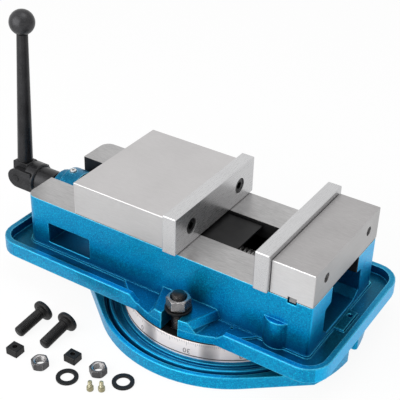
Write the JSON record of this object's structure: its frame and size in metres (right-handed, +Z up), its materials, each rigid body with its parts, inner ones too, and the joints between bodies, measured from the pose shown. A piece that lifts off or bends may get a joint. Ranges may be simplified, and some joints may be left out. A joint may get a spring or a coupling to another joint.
{
  "type": "swivel milling vise",
  "caption": "Machine vise for a mill table: bed with coolant trough on a graduated swivel base, sliding and fixed jaws with bolted plates, screw with a folding crank, and loose table hardware.",
  "frame": {"origin": "on the swivel axis, on the face of the base that rests on the machine table", "axes": "+X from the crank to the fixed jaw, +Y to the left of that, +Z up along the swivel axis"},
  "size_m": [0.4553, 0.337, 0.2672],
  "materials": {
    "blue_paint": "hammered gloss",
    "ground_steel": "ground",
    "bright_steel": "machined",
    "black_oxide": "black oxide",
    "pale_brass": "satin"
  },
  "bodies": {
    "base": {"swivel_base": "blue_paint", "table_bolt_one": "black_oxide", "table_bolt_two": "black_oxide", "table_nut_one": "bright_steel", "table_nut_two": "bright_steel", "table_washer_one": "black_oxide", "table_washer_two": "black_oxide", "table_key_one": "black_oxide", "table_key_two": "black_oxide", "key_screw_one": "pale_brass", "key_screw_two": "pale_brass"},
    "bed": {"vise_body": "blue_paint", "centre_pivot": "bright_steel", "screw_housing": "blue_paint", "housing_screw": "pale_brass", "bearing_cap": "bright_steel", "thrust_bearing": "bright_steel", "fixed_jaw": "ground_steel", "fixed_jaw_plate": "ground_steel", "fixed_plate_screw_near": "black_oxide", "fixed_plate_screw_far": "black_oxide", "fixed_jaw_key_near": "bright_steel", "fixed_jaw_key_far": "bright_steel", "fixed_jaw_bolt_near": "black_oxide", "fixed_jaw_bolt_far": "black_oxide", "clamp_bolt_near": "black_oxide", "clamp_bolt_far": "black_oxide", "clamp_washer_near": "black_oxide", "clamp_washer_far": "black_oxide"},
    "jaw": {"movable_jaw": "ground_steel", "movable_jaw_plate": "ground_steel", "movable_plate_screw_near": "black_oxide", "movable_plate_screw_far": "black_oxide", "lead_nut": "ground_steel", "lock_segment": "ground_steel", "chip_guard": "black_oxide"},
    "screw": {"lead_screw": "bright_steel", "thrust_collar": "black_oxide", "crank_hub": "black_oxide", "handle_pin": "bright_steel"},
    "handle": {"handle_knuckle": "black_oxide", "handle_rod": "black_oxide", "ball_knob": "black_oxide"},
    "nut_near": {"clamp_nut_near": "bright_steel"},
    "nut_far": {"clamp_nut_far": "bright_steel"}
  },
  "joints": [
    {"name": "swivel", "type": "hinge", "parent": "base", "child": "bed", "pos_m": [0, 0, 0.032], "axis": [0, 0, 1], "continuous": true},
    {"name": "jaw_slide", "type": "slide", "parent": "bed", "child": "jaw", "axis": [1, 0, 0], "range_m": [-0.06, 0.088]},
    {"name": "screw_turn", "type": "hinge", "parent": "bed", "child": "screw", "pos_m": [-0.214, 0, 0.0674], "axis": [1, 0, 0], "range_deg": [-4310, 6330]},
    {"name": "handle_fold", "type": "hinge", "parent": "screw", "child": "handle", "pos_m": [-0.2804, 0, 0.0674], "axis": [0, -0.9974, 0.0724], "range_deg": [0, 90]},
    {"name": "near_nut_turn", "type": "hinge", "parent": "bed", "child": "nut_near", "pos_m": [0, -0.092, 0.055], "axis": [0, 0, 1], "continuous": true},
    {"name": "far_nut_turn", "type": "hinge", "parent": "bed", "child": "nut_far", "pos_m": [0, 0.092, 0.055], "axis": [0, 0, 1], "continuous": true}
  ],
  "couplings": [
    {"joint": "jaw_slide", "follows": "screw_turn", "m_per_rad": 0.00079577}
  ]
}
